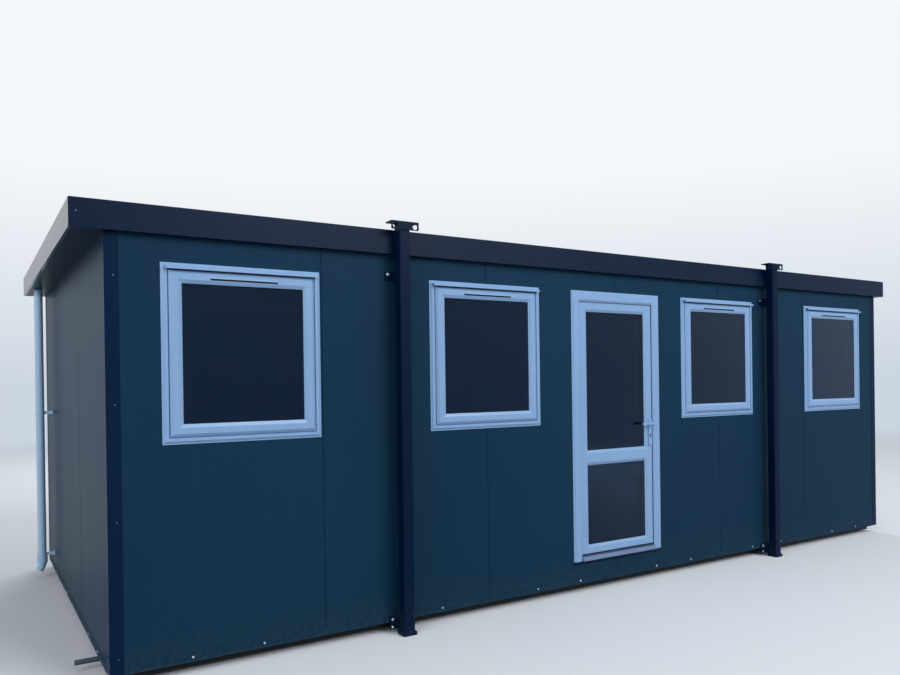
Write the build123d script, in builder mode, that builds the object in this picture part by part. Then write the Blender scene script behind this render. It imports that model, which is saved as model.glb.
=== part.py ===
from build123d import *

import os

os.makedirs("parts", exist_ok=True)

# Portable site cabin: a flat-roofed box of sandwich panels on a steel chassis, carried by
# four jack legs that stand off the long walls. Millimetres, +Z up, the front faces -Y.
# The origin is on the ground, under the middle of the whole cabin.

# Walls
front_panel_width = 1220.0
front_panel_count = 6
side_panel_width = 1135.0
side_panel_count = 3
wall_thickness = 60.0
wall_base = 70.0
wall_top = 2440.0
panel_gap = 0.4
panel_bevel = 4.0

# Roof and its edge
eaves_left = 170.0
eaves_right = 110.0
eaves_front = 40.0
fascia_bottom = 2423.0
fascia_height = 152.0
fascia_sheet = 2.0
fascia_top_flange = 55.0
fascia_bottom_lip = 18.0
membrane_thickness = 8.0
soffit_thickness = 15.0
ceiling_thickness = 12.0

# Floor and chassis
floor_top = 230.0
floor_thickness = 45.0
chassis_bottom = 25.0
rail_flange = 55.0
rail_web = 5.0
cross_member_count = 9
cross_member_width = 50.0
cross_member_height = 120.0

# Flashings
trim_sheet = 2.0
corner_trim_leg = 70.0
base_trim_height = 45.0
base_trim_lip = 4.0

# Windows and door share one head level and the same frame edge: a thin flange, then a bevel
head_level = 2279.0
frame_proud = 12.0
frame_depth = 74.0
frame_flange = 5.0
frame_flange_proud = 3.0
frame_bevel = 12.0
bead_width = 21.0
glass_thickness = 24.0
glass_setback = 10.0
glass_bite = 12.0

# Windows: the end ones stop short of a panel joint, the middle ones lie over a joint
window_width = 926.0
window_height = 1000.0
window_joint_margin = 13.0
window_joint_offset = 7.0
window_face = 34.0
window_stop = 15.0
window_stop_depth = 12.0
sash_gap = 7.0
sash_clearance = 0.5
sash_groove_depth = 10.0
sash_member = 71.0
sash_bevel = 16.0
sash_proud = 10.0
vent_length = 392.0
vent_height = 7.0
vent_depth = 14.0
vent_drop = 81.0
head_bar_inset = 20.0
head_bar_drop = 15.0
head_bar_fall = 7.0
head_bar_height = 21.0
head_bar_reach = 26.0
head_bar_lip = 4.0

# Door, set a little to the right of the middle joint
door_joint_offset = 19.5
door_width = 927.0
door_bottom = 239.0
door_face = 80.0
door_inner_bevel = 15.0
door_inner_bevel_depth = 8.0
door_lip = 12.0
door_rebate = 18.0
door_gap = 5.0
leaf_stile = 82.0
leaf_top_rail = 76.0
leaf_bottom_rail = 80.0
leaf_midrail = 115.0
midrail_bottom = 953.0
threshold_height = 27.0
threshold_nose = 14.0
threshold_nose_height = 18.0

# Door furniture
hinge_barrel = 18.0
hinge_pin = 8.0
hinge_pin_clearance = 0.3
hinge_height = 100.0
hinge_plate = 3.0
hinge_plate_width = 32.0
hinge_plate_setback = 5.0
hinge_axis_behind = 12.0
hinge_count = 3
hinge_end_inset = 210.0
handle_height = 1249.0
handle_backset = 27.0
handle_plate_width = 34.0
handle_plate_height = 220.0
handle_plate_thickness = 10.0
handle_plate_drop = 40.0
lever_hub = 20.0
lever_reach = 36.0
lever_length = 125.0
lever_thickness = 12.0
lever_height = 18.0
lever_gap = 0.5
spindle = 8.0
spindle_clearance = 1.0
keyhole_drop = 92.0
keyhole_diameter = 17.0
keyhole_length = 33.0
keyhole_slot = 10.0

# Jack legs: one stands left of the second window, one right of the third
leg_before_window = 244.0
leg_after_window = 178.0
leg_size = 75.0
leg_wall = 5.0
leg_corner = 8.0
leg_standoff = 47.0
foot_size = 95.0
foot_thickness = 22.0
bracket_width = 195.0
bracket_plate = 8.0
bracket_flange = 53.0
bracket_corner = 6.0
bracket_rise = 46.0
lifting_hole = 36.0
lifting_hole_spacing = 142.0
clamp_width = 172.0
clamp_plate = 8.0
upper_clamp_height = 55.0
upper_clamp_drop = 110.0
lower_clamp_height = 75.0
lower_clamp_bottom = 24.0
outrigger_width = 60.0
outrigger_height = 40.0

# Rainwater pipe, measured from the outer left end and the front face of the wall
pipe_diameter = 65.0
pipe_wall = 3.0
pipe_offset = 93.0
pipe_from_front = 2930.0
pipe_shoe_bottom = 70.0
pipe_shoe_height = 48.0
pipe_shoe_reach = 24.0
pipe_bend = 40.0
pipe_collar = 8.0
pipe_collar_rise = 12.0
pipe_collar_height = 57.0
clip_low = 190.0
clip_spacing = 1190.0
clip_count = 2
clip_clearance = 0.3
clip_band = 4.0
clip_height = 24.0
clip_base = 60.0
clip_stem = 16.0

# Places worked out from the sizes above
wall_length = front_panel_width * front_panel_count
wall_depth = side_panel_width * side_panel_count
roof_length = eaves_left + wall_length + eaves_right
wall_left = -roof_length / 2 + eaves_left
wall_right = wall_left + wall_length
wall_front = -wall_depth / 2
wall_back = wall_depth / 2
roof_left = wall_left - eaves_left
roof_right = wall_right + eaves_right
roof_front = wall_front - eaves_front
roof_back = wall_back + eaves_front
fascia_top = fascia_bottom + fascia_height
deck_top = fascia_top - fascia_sheet - membrane_thickness
room_left = wall_left + wall_thickness
room_right = wall_right - wall_thickness
room_front = wall_front + wall_thickness
room_back = wall_back - wall_thickness
joints = [wall_left + number * front_panel_width for number in range(1, front_panel_count)]
door_joint = joints[front_panel_count // 2 - 1]
joint_before_door = joints[front_panel_count // 2 - 2]
joint_after_door = joints[front_panel_count // 2]
window_lefts = (
    joints[0] - window_joint_margin - window_width,
    joint_before_door + window_joint_offset - window_width / 2,
    joint_after_door - window_joint_offset - window_width / 2,
    joints[-1] + window_joint_margin,
)
window_top = head_level
window_bottom = window_top - window_height
door_left = door_joint + door_joint_offset - door_width / 2
door_right = door_left + door_width
door_top = head_level
frame_face_y = wall_front - frame_proud
frame_back_y = frame_face_y + frame_depth


def block(x_range, y_range, z_range):
    """A plain rectangular piece between the low and high values of each axis."""
    size = [high - low for low, high in (x_range, y_range, z_range)]
    middle = [(high + low) / 2 for low, high in (x_range, y_range, z_range)]
    with Locations(tuple(middle)):
        Box(*size)


def block_cut(x_range, y_range, z_range):
    """The same piece, taken away from what is there."""
    size = [high - low for low, high in (x_range, y_range, z_range)]
    middle = [(high + low) / 2 for low, high in (x_range, y_range, z_range)]
    with Locations(tuple(middle)):
        Box(*size, mode=Mode.SUBTRACT)


def facing_front(y):
    """The upright plane at this depth whose own axes are X and Z."""
    return Plane.XZ.offset(-y)


def upright_rectangle(left, right, bottom, top):
    """A rectangle on an upright plane, between these edges."""
    with Locations(((left + right) / 2, (bottom + top) / 2)):
        Rectangle(right - left, top - bottom)


def save(piece, name):
    """Label a finished piece and write it under the same name."""
    piece.label = name
    export_step(piece, f"parts/{name}.step")


# Long walls: panels with a shallow V where two meet
def front_plan(left, right, face, inward, bevel_left, bevel_right):
    """Plan outline of a long-wall panel whose outer face is at y = face."""
    back = face + inward * wall_thickness
    recess = face + inward * panel_bevel
    points = [(left, back), (left, recess if bevel_left else face)]
    if bevel_left:
        points.append((left + panel_bevel, face))
    if bevel_right:
        points.append((right - panel_bevel, face))
    points += [(right, recess if bevel_right else face), (right, back)]
    Polygon(*points, align=None)


def panel_edges(index):
    """Left and right edges of one long-wall panel, and which of them are joints."""
    left = wall_left + index * front_panel_width
    right = left + front_panel_width
    first = index == 0
    last = index == front_panel_count - 1
    return (
        left if first else left + panel_gap / 2,
        right if last else right - panel_gap / 2,
        not first,
        not last,
    )


def front_panel(index):
    """One front panel, cut round the windows and stopped at the sides of the doorway."""
    left, right, joint_left, joint_right = panel_edges(index)
    with BuildPart() as panel:
        with BuildSketch(Plane.XY.offset(wall_base)):
            front_plan(left, right, wall_front, 1, joint_left, joint_right)
        extrude(amount=wall_top - wall_base)
        through = (wall_front - frame_proud, room_front + frame_proud)
        for window_left in window_lefts:
            block_cut((window_left, window_left + window_width), through, (window_bottom, window_top))
        block_cut((door_left, door_right), through, (wall_base, wall_top))
    return panel.part


for index in range(front_panel_count):
    save(front_panel(index), f"front_panel_{index + 1}")


def door_filler(bottom, top):
    """The wall over or under the doorway, in two pieces that meet at a panel joint."""
    with BuildPart() as filler:
        with BuildSketch(Plane.XY.offset(bottom)):
            front_plan(door_left, door_joint - panel_gap / 2, wall_front, 1, False, True)
            front_plan(door_joint + panel_gap / 2, door_right, wall_front, 1, True, False)
        extrude(amount=top - bottom)
    return filler.part


save(door_filler(door_top, wall_top), "door_head_panels")
save(door_filler(wall_base, door_bottom), "door_sill_panels")

with BuildPart() as rear_wall_panels:
    with BuildSketch(Plane.XY.offset(wall_base)):
        for index in range(front_panel_count):
            left, right, joint_left, joint_right = panel_edges(index)
            front_plan(left, right, wall_back, -1, joint_left, joint_right)
    extrude(amount=wall_top - wall_base)
save(rear_wall_panels.part, "rear_wall_panels")


# End walls stand between the long walls
def end_wall(face, inward):
    """Three panels of an end wall whose outer face is at x = face."""
    back = face + inward * wall_thickness
    recess = face + inward * panel_bevel
    with BuildPart() as wall:
        with BuildSketch(Plane.XY.offset(wall_base)):
            for index in range(side_panel_count):
                near = wall_front + index * side_panel_width + panel_gap / 2
                far = near + side_panel_width - panel_gap
                near_face = near + panel_bevel
                far_face = far - panel_bevel
                if index == 0:
                    near = near_face = room_front
                if index == side_panel_count - 1:
                    far = far_face = room_back
                near_recess = face if index == 0 else recess
                far_recess = face if index == side_panel_count - 1 else recess
                outline = [(back, near), (near_recess, near)]
                if index > 0:
                    outline.append((face, near_face))
                if index < side_panel_count - 1:
                    outline.append((face, far_face))
                outline += [(far_recess, far), (back, far)]
                Polygon(*outline, align=None)
        extrude(amount=wall_top - wall_base)
    return wall.part


save(end_wall(wall_left, 1), "left_wall_panels")
save(end_wall(wall_right, -1), "right_wall_panels")

# Corner flashings: folded angles over the four corners, from the wall's foot to the soffit
corner_top = fascia_bottom
with BuildPart() as corner_trims:
    with BuildSketch(Plane.XY.offset(wall_base)):
        for x, to_right in ((wall_left, 1), (wall_right, -1)):
            for y, to_back in ((wall_front, 1), (wall_back, -1)):
                outer_x = x - to_right * trim_sheet
                outer_y = y - to_back * trim_sheet
                end_x = x + to_right * corner_trim_leg
                end_y = y + to_back * corner_trim_leg
                Polygon(
                    (outer_x, outer_y),
                    (end_x, outer_y),
                    (end_x, y),
                    (x, y),
                    (x, end_y),
                    (outer_x, end_y),
                    align=None,
                )
    extrude(amount=corner_top - wall_base)
save(corner_trims.part, "corner_trims")

# Base flashings: a thin strip along the foot of each wall, kicked out at its lower edge
def base_strip(plane, length):
    """A drip strip whose profile is drawn outward along the plane's own X."""
    with BuildSketch(plane) as profile:
        Polygon(
            (0, base_trim_height),
            (trim_sheet, base_trim_height),
            (trim_sheet, base_trim_lip),
            (trim_sheet + base_trim_lip, 0),
            (base_trim_lip, 0),
            (0, base_trim_lip),
            align=None,
        )
    extrude(profile.sketch, amount=length)


strip_start_x = wall_left + corner_trim_leg
strip_start_y = wall_front + corner_trim_leg
strip_length_x = wall_length - 2 * corner_trim_leg
strip_length_y = wall_depth - 2 * corner_trim_leg
with BuildPart() as base_trims:
    front_strip = Plane((strip_start_x, wall_front, wall_base), x_dir=(0, -1, 0), z_dir=(-1, 0, 0))
    base_strip(front_strip, -strip_length_x)
    back_strip = Plane((strip_start_x, wall_back, wall_base), x_dir=(0, 1, 0), z_dir=(1, 0, 0))
    base_strip(back_strip, strip_length_x)
    left_strip = Plane((wall_left, strip_start_y, wall_base), x_dir=(-1, 0, 0), z_dir=(0, 1, 0))
    base_strip(left_strip, strip_length_y)
    right_strip = Plane((wall_right, strip_start_y, wall_base), x_dir=(1, 0, 0), z_dir=(0, -1, 0))
    base_strip(right_strip, -strip_length_y)
save(base_trims.part, "base_trims")

# Roof: deck, membrane, ceiling, soffit strips and the folded fascias round them
with BuildPart() as roof_deck:
    block(
        (roof_left + fascia_sheet, roof_right - fascia_sheet),
        (roof_front + fascia_sheet, roof_back - fascia_sheet),
        (wall_top, deck_top),
    )
save(roof_deck.part, "roof_deck")

with BuildPart() as roof_membrane:
    block(
        (roof_left + fascia_sheet, roof_right - fascia_sheet),
        (roof_front + fascia_sheet, roof_back - fascia_sheet),
        (deck_top, deck_top + membrane_thickness),
    )
save(roof_membrane.part, "roof_membrane")

with BuildPart() as ceiling:
    block((room_left, room_right), (room_front, room_back), (wall_top - ceiling_thickness, wall_top))
save(ceiling.part, "ceiling")

soffit_range = (wall_top - soffit_thickness, wall_top)
with BuildPart() as soffit_panels:
    strip_x = (roof_left + fascia_sheet, roof_right - fascia_sheet)
    block(strip_x, (roof_front + fascia_sheet, wall_front), soffit_range)
    block(strip_x, (wall_back, roof_back - fascia_sheet), soffit_range)
    between_walls = (wall_front + panel_gap, wall_back - panel_gap)
    block((roof_left + fascia_sheet, wall_left), between_walls, soffit_range)
    block((wall_right, roof_right - fascia_sheet), between_walls, soffit_range)
save(soffit_panels.part, "soffit_panels")


def long_fascia(plane):
    """A folded fascia along the roof: upright face, flange over the roof and lip below."""
    with BuildPart() as piece:
        with BuildSketch(plane):
            Polygon(
                (0, 0),
                (fascia_bottom_lip, 0),
                (fascia_bottom_lip, fascia_sheet),
                (fascia_sheet, fascia_sheet),
                (fascia_sheet, fascia_height - fascia_sheet),
                (fascia_top_flange, fascia_height - fascia_sheet),
                (fascia_top_flange, fascia_height),
                (0, fascia_height),
                align=None,
            )
        extrude(amount=roof_length)
    return piece.part


def end_fascia(face, inward):
    """The fascia of one end, butted between the long ones and folded inside their folds."""
    sheets = (
        (fascia_sheet, (fascia_bottom + fascia_sheet, fascia_top - fascia_sheet)),
        (fascia_top_flange, (fascia_top - fascia_sheet, fascia_top)),
        (fascia_bottom_lip, (fascia_bottom, fascia_bottom + fascia_sheet)),
    )
    with BuildPart() as piece:
        for reach, z_range in sheets:
            x_range = sorted((face, face + inward * reach))
            block(x_range, (roof_front + reach, roof_back - reach), z_range)
    return piece.part


front_fascia = Plane((roof_left, roof_front, fascia_bottom), x_dir=(0, 1, 0), z_dir=(1, 0, 0))
save(long_fascia(front_fascia), "fascia_front")
rear_fascia = Plane((roof_right, roof_back, fascia_bottom), x_dir=(0, -1, 0), z_dir=(-1, 0, 0))
save(long_fascia(rear_fascia), "fascia_rear")
save(end_fascia(roof_left, 1), "fascia_left")
save(end_fascia(roof_right, -1), "fascia_right")

# Floor and chassis
with BuildPart() as floor_deck:
    block((room_left, room_right), (room_front, room_back), (floor_top - floor_thickness, floor_top))
save(floor_deck.part, "floor_deck")

rail_top = floor_top - floor_thickness
rail_height = rail_top - chassis_bottom


def channel(plane, length):
    """A rolled channel: its web stands on the plane's own Y axis, its flanges run along X."""
    with BuildSketch(plane) as profile:
        Polygon(
            (0, 0),
            (rail_flange, 0),
            (rail_flange, rail_web),
            (rail_web, rail_web),
            (rail_web, rail_height - rail_web),
            (rail_flange, rail_height - rail_web),
            (rail_flange, rail_height),
            (0, rail_height),
            align=None,
        )
    extrude(profile.sketch, amount=length)


room_length = room_right - room_left
with BuildPart() as chassis_side_rails:
    channel(Plane((room_left, room_front, chassis_bottom), x_dir=(0, 1, 0), z_dir=(1, 0, 0)), room_length)
    channel(Plane((room_right, room_back, chassis_bottom), x_dir=(0, -1, 0), z_dir=(-1, 0, 0)), room_length)
save(chassis_side_rails.part, "chassis_side_rails")

cross_start = room_left + cross_member_width / 2
cross_step = (room_length - cross_member_width) / (cross_member_count - 1)
with BuildPart() as chassis_cross_members:
    for index in range(cross_member_count):
        x = cross_start + index * cross_step
        block(
            (x - cross_member_width / 2, x + cross_member_width / 2),
            (room_front + rail_flange, room_back - rail_flange),
            (rail_top - cross_member_height, rail_top),
        )
save(chassis_cross_members.part, "chassis_cross_members")

# Windows: a bevelled frame, a sash with bevelled edges and sloped beads, and sealed glass
sash_front = frame_face_y - sash_proud
sash_back = frame_back_y - window_stop_depth
sash_glass_front = sash_front + glass_setback
flange_y = wall_front - frame_flange_proud


def tapered(base, base_y, top_inset, top_y, mode=Mode.ADD):
    """A block whose four sides slope in evenly from one upright rectangle to another."""
    left, right, bottom, top = base
    with BuildSketch(facing_front(base_y)) as outer:
        upright_rectangle(left, right, bottom, top)
    with BuildSketch(facing_front(top_y)) as inner:
        upright_rectangle(left + top_inset, right - top_inset, bottom + top_inset, top - top_inset)
    loft([outer.sketch.face(), inner.sketch.face()], ruled=True, mode=mode)


def frame_body(left, right, bottom, top):
    """The solid of a frame before its opening is cut: flange, bevel and face."""
    block((left, right), (flange_y, frame_back_y), (bottom, top))
    edges = (left + frame_flange, right - frame_flange, bottom + frame_flange, top - frame_flange)
    tapered(edges, flange_y, frame_bevel, frame_face_y)


def head_bar(left, length):
    """A weather bar over the sash: its top slopes outward and its lip hangs at the front."""
    back = -flange_y
    front = -frame_face_y + head_bar_reach
    behind_lip = front - head_bar_lip
    underside = -head_bar_drop - head_bar_height
    with BuildSketch(Plane((left, 0, window_top), x_dir=(0, -1, 0), z_dir=(-1, 0, 0))) as profile:
        Polygon(
            (back, -head_bar_drop),
            (front, -head_bar_drop - head_bar_fall),
            (front, underside),
            (behind_lip, underside),
            (behind_lip, underside + head_bar_lip),
            (back, underside + head_bar_lip),
            align=None,
        )
    extrude(profile.sketch, amount=-length)


def window_frame(left):
    """The fixed frame of one window, with a shallow groove round the sash."""
    right = left + window_width
    groove_y = frame_face_y + sash_groove_depth
    steps = (
        (window_face, frame_face_y, groove_y),
        (window_face + sash_gap - sash_clearance, groove_y, sash_back),
        (window_face + window_stop, sash_back, frame_back_y),
    )
    with BuildPart() as frame:
        frame_body(left, right, window_bottom, window_top)
        head_bar(left + head_bar_inset, window_width - 2 * head_bar_inset)
        for inset, near_y, far_y in steps:
            x_range = (left + inset, right - inset)
            block_cut(x_range, (near_y, far_y), (window_bottom + inset, window_top - inset))
    return frame.part


def sash_edges(left):
    """Left, right, bottom and top of the sash of one window."""
    inset = window_face + sash_gap
    return (left + inset, left + window_width - inset, window_bottom + inset, window_top - inset)


def sash_opening(left):
    """Left, right, bottom and top of the glass that shows in one window."""
    near, far, low, high = sash_edges(left)
    return (near + sash_member, far - sash_member, low + sash_member, high - sash_member)


def glazed(opening, face, back):
    """Cut the sloped bead, the groove for the glass and the way through behind it."""
    left, right, bottom, top = opening
    glass_front = face + glass_setback
    glass_back = glass_front + glass_thickness
    bead = (left - bead_width, right + bead_width, bottom - bead_width, top + bead_width)
    tapered(bead, face, bead_width, glass_front, Mode.SUBTRACT)
    block_cut(
        (left - glass_bite, right + glass_bite),
        (glass_front, glass_back),
        (bottom - glass_bite, top + glass_bite),
    )
    block_cut((left, right), (glass_back, back), (bottom, top))


def pane(opening, glass_front):
    """The sealed glass unit that fills the groove of an opening."""
    left, right, bottom, top = opening
    block(
        (left - glass_bite, right + glass_bite),
        (glass_front, glass_front + glass_thickness),
        (bottom - glass_bite, top + glass_bite),
    )


def window_sash(left):
    """The sash of one window, with a vent slot along its head."""
    near, far, low, high = sash_edges(left)
    middle = (near + far) / 2
    vent_middle = window_top - vent_drop
    with BuildPart() as sash:
        block((near, far), (frame_face_y, sash_back), (low, high))
        tapered((near, far, low, high), frame_face_y, sash_bevel, sash_front)
        glazed(sash_opening(left), sash_front, sash_back)
        block_cut(
            (middle - vent_length / 2, middle + vent_length / 2),
            (sash_front, sash_front + vent_depth),
            (vent_middle - vent_height / 2, vent_middle + vent_height / 2),
        )
    return sash.part


for number, left in enumerate(window_lefts, start=1):
    save(window_frame(left), f"window_{number}_frame")
    save(window_sash(left), f"window_{number}_sash")

with BuildPart() as window_glass:
    for left in window_lefts:
        pane(sash_opening(left), sash_glass_front)
save(window_glass.part, "window_glass")

# Door: a frame on three sides, a threshold, and a leaf that opens into the room
leaf_inset = door_face - door_rebate + door_gap
leaf_left = door_left + leaf_inset
leaf_right = door_right - leaf_inset
leaf_top = door_top - leaf_inset
leaf_bottom = door_bottom + threshold_height + door_gap
leaf_front = frame_face_y + door_lip + door_gap
leaf_back = frame_back_y
leaf_glass_front = leaf_front + glass_setback
below_door = door_bottom - door_face

with BuildPart() as door_frame:
    frame_body(door_left, door_right, below_door, door_top)
    block_cut((door_left, door_right), (frame_face_y, frame_back_y), (below_door, door_bottom))
    bevel_start = door_face - door_inner_bevel
    bevel_edges = (door_left + bevel_start, door_right - bevel_start, below_door, door_top - bevel_start)
    bevel_y = frame_face_y + door_inner_bevel_depth
    tapered(bevel_edges, frame_face_y, door_inner_bevel, bevel_y, Mode.SUBTRACT)
    block_cut(
        (door_left + door_face, door_right - door_face),
        (frame_face_y, frame_face_y + door_lip),
        (door_bottom, door_top - door_face),
    )
    jamb = door_face - door_rebate
    block_cut(
        (door_left + jamb, door_right - jamb),
        (frame_face_y + door_lip, frame_back_y),
        (door_bottom, door_top - jamb),
    )
save(door_frame.part, "door_frame")

with BuildPart() as door_threshold:
    with BuildSketch(Plane((door_left + door_face, 0, door_bottom), x_dir=(0, -1, 0), z_dir=(-1, 0, 0))):
        nose_y = -(frame_face_y - threshold_nose)
        Polygon(
            (-frame_back_y, 0),
            (nose_y, 0),
            (nose_y, threshold_nose_height),
            (-frame_face_y, threshold_height),
            (-frame_back_y, threshold_height),
            align=None,
        )
    extrude(amount=-(door_width - 2 * door_face))
save(door_threshold.part, "door_threshold")

glass_left = door_left + door_face + leaf_stile
glass_right = door_right - door_face - leaf_stile
lower_pane = (glass_left, glass_right, leaf_bottom + leaf_bottom_rail, midrail_bottom)
upper_pane = (
    glass_left,
    glass_right,
    midrail_bottom + leaf_midrail,
    door_top - door_face - leaf_top_rail,
)
handle_x = door_right - door_face - handle_backset
hinge_x = leaf_left - door_gap / 2
hinge_y = leaf_back + hinge_axis_behind
keyhole_height = handle_height - keyhole_drop

with BuildPart() as door_leaf:
    block((leaf_left, leaf_right), (leaf_front, leaf_back), (leaf_bottom, leaf_top))
    for opening in (lower_pane, upper_pane):
        glazed(opening, leaf_front, leaf_back)
    with BuildSketch(facing_front(leaf_front)):
        with Locations((handle_x, handle_height)):
            Circle(spindle / 2 + spindle_clearance)
    extrude(amount=-(leaf_back - leaf_front), mode=Mode.SUBTRACT)
save(door_leaf.part, "door_leaf")

with BuildPart() as door_glass:
    for opening in (lower_pane, upper_pane):
        pane(opening, leaf_glass_front)
save(door_glass.part, "door_glass")

# Handle: a long plate on each side of the leaf, and two levers on one spindle
plate_top = handle_height + handle_plate_drop
plate_bottom = plate_top - handle_plate_height
slot_top = keyhole_height + keyhole_slot / 2
slot_bottom = keyhole_height + keyhole_diameter / 2 - keyhole_length


def handle_plate(y_near, y_far):
    """A round-ended plate with a hole for the spindle and a keyhole with a narrow tail."""
    with BuildSketch(facing_front(y_near)) as outline:
        with Locations((handle_x, (plate_top + plate_bottom) / 2)):
            SlotOverall(handle_plate_height, handle_plate_width, rotation=90)
        with Locations((handle_x, handle_height)):
            Circle(spindle / 2 + spindle_clearance, mode=Mode.SUBTRACT)
        with Locations((handle_x, keyhole_height)):
            Circle(keyhole_diameter / 2, mode=Mode.SUBTRACT)
        with Locations((handle_x, (slot_top + slot_bottom) / 2)):
            SlotOverall(slot_top - slot_bottom, keyhole_slot, rotation=90, mode=Mode.SUBTRACT)
    extrude(outline.sketch, amount=-(y_far - y_near))


outer_plate_front = leaf_front - handle_plate_thickness
inner_plate_back = leaf_back + handle_plate_thickness
with BuildPart() as door_handle_plates:
    handle_plate(outer_plate_front, leaf_front)
    handle_plate(leaf_back, inner_plate_back)
save(door_handle_plates.part, "door_handle_plates")


def lever_arm(y_near, y_far):
    """A flat lever that points away from the lock side, with a round end."""
    with BuildSketch(facing_front(y_near)) as outline:
        with Locations((handle_x - lever_length / 2 + lever_height / 2, handle_height)):
            SlotOverall(lever_length, lever_height)
        with Locations((handle_x, handle_height)):
            Circle(lever_hub / 2)
    extrude(outline.sketch, amount=-(y_far - y_near))


with BuildPart() as door_levers:
    outer_end = outer_plate_front - lever_gap - lever_reach
    inner_end = inner_plate_back + lever_gap + lever_reach
    lever_arm(outer_end, outer_end + lever_thickness)
    lever_arm(inner_end - lever_thickness, inner_end)
    with BuildSketch(facing_front(outer_end)):
        with Locations((handle_x, handle_height)):
            Circle(lever_hub / 2)
    extrude(amount=-lever_reach)
    with BuildSketch(facing_front(inner_end - lever_reach)):
        with Locations((handle_x, handle_height)):
            Circle(lever_hub / 2)
    extrude(amount=-lever_reach)
    with BuildSketch(facing_front(outer_end)):
        with Locations((handle_x, handle_height)):
            Circle(spindle / 2)
    extrude(amount=-(inner_end - outer_end))
save(door_levers.part, "door_levers")


# Hinges: each has a lower half with the pin on the frame and an upper half on the leaf
def hinge_half(bottom, side, height):
    """One plate with its knuckle: side -1 lies on the frame, side 1 on the leaf."""
    plate_y = (leaf_back, leaf_back + hinge_plate)
    near = hinge_x + side * hinge_plate_setback
    far = hinge_x + side * (hinge_plate_setback + hinge_plate_width)
    block((min(near, far), max(near, far)), plate_y, (bottom, bottom + hinge_height))
    knuckle_bottom = bottom if side < 0 else bottom + hinge_height / 2 + lever_gap
    web_x = sorted((hinge_x, hinge_x + side * hinge_barrel / 2))
    block(web_x, (leaf_back, hinge_y), (knuckle_bottom, knuckle_bottom + height))
    with BuildSketch(Plane.XY.offset(knuckle_bottom)) as barrel:
        with Locations((hinge_x, hinge_y)):
            Circle(hinge_barrel / 2)
    extrude(barrel.sketch, amount=height)


knuckle_height = hinge_height / 2 - lever_gap
hinge_step = (leaf_top - leaf_bottom - 2 * hinge_end_inset) / (hinge_count - 1)
hinge_levels = [leaf_bottom + hinge_end_inset + index * hinge_step for index in range(hinge_count)]
with BuildPart() as door_hinge_frame_halves:
    for middle in hinge_levels:
        hinge_half(middle - hinge_height / 2, -1, knuckle_height)
        with BuildSketch(Plane.XY.offset(middle - hinge_height / 2)):
            with Locations((hinge_x, hinge_y)):
                Circle(hinge_pin / 2)
        extrude(amount=hinge_height)
save(door_hinge_frame_halves.part, "door_hinge_frame_halves")

with BuildPart() as door_hinge_leaf_halves:
    for middle in hinge_levels:
        hinge_half(middle - hinge_height / 2, 1, knuckle_height)
        with BuildSketch(Plane.XY.offset(middle - hinge_height / 2)):
            with Locations((hinge_x, hinge_y)):
                Circle(hinge_pin / 2 + hinge_pin_clearance)
        extrude(amount=hinge_height + lever_gap, mode=Mode.SUBTRACT)
save(door_hinge_leaf_halves.part, "door_hinge_leaf_halves")

# Jack legs on the front and, turned round, on the rear
bracket_top = fascia_top + bracket_rise
bracket_underside = bracket_top - bracket_plate
leg_columns = (window_lefts[1] - leg_before_window, window_lefts[2] + window_width + leg_after_window)
leg_stations = [
    (x, face, outward)
    for face, outward in ((wall_front, -1), (wall_back, 1))
    for x in leg_columns
]

with BuildPart() as leg_posts:
    with BuildSketch(Plane.XY.offset(foot_thickness)):
        for x, face, outward in leg_stations:
            with Locations((x, face + outward * (leg_standoff + leg_size / 2))):
                RectangleRounded(leg_size, leg_size, leg_corner)
                inner = leg_size - 2 * leg_wall
                RectangleRounded(inner, inner, leg_corner - leg_wall, mode=Mode.SUBTRACT)
    extrude(amount=bracket_underside - foot_thickness)
save(leg_posts.part, "leg_posts")

with BuildPart() as leg_feet:
    with BuildSketch(Plane.XY):
        for x, face, outward in leg_stations:
            with Locations((x, face + outward * (leg_standoff + leg_size / 2))):
                RectangleRounded(foot_size, foot_size, leg_corner)
    extrude(amount=foot_thickness)
save(leg_feet.part, "leg_feet")

with BuildPart() as lifting_brackets:
    for x, face, outward in leg_stations:
        post_outer = face + outward * (leg_standoff + leg_size)
        flange_outer = post_outer + outward * bracket_plate
        back_edge = face + outward * leg_standoff
        x_range = (x - bracket_width / 2, x + bracket_width / 2)
        y_range = (min(back_edge, flange_outer), max(back_edge, flange_outer))
        block(x_range, y_range, (bracket_underside, bracket_top))
        with BuildSketch(facing_front(max(post_outer, flange_outer))) as flange:
            with Locations((x, bracket_top - bracket_flange / 2)):
                Rectangle(bracket_width, bracket_flange)
            lower_corners = flange.vertices().group_by(Axis.Y)[0]
            fillet(lower_corners, bracket_corner)
            with Locations((x, bracket_top - bracket_plate - (bracket_flange - bracket_plate) / 2)):
                with GridLocations(lifting_hole_spacing, 0, 2, 1):
                    Circle(lifting_hole / 2, mode=Mode.SUBTRACT)
        extrude(amount=bracket_plate)
save(lifting_brackets.part, "lifting_brackets")


def clamps(stand_off, bottom, height):
    """A plate behind each leg, with a block that reaches out from it to the post."""
    for x, face, outward in leg_stations:
        plate_y = sorted((face + outward * stand_off, face + outward * (stand_off + clamp_plate)))
        block_y = sorted((face + outward * (stand_off + clamp_plate), face + outward * leg_standoff))
        z_range = (bottom, bottom + height)
        block((x - clamp_width / 2, x + clamp_width / 2), plate_y, z_range)
        block((x - leg_size / 2, x + leg_size / 2), block_y, z_range)


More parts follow.
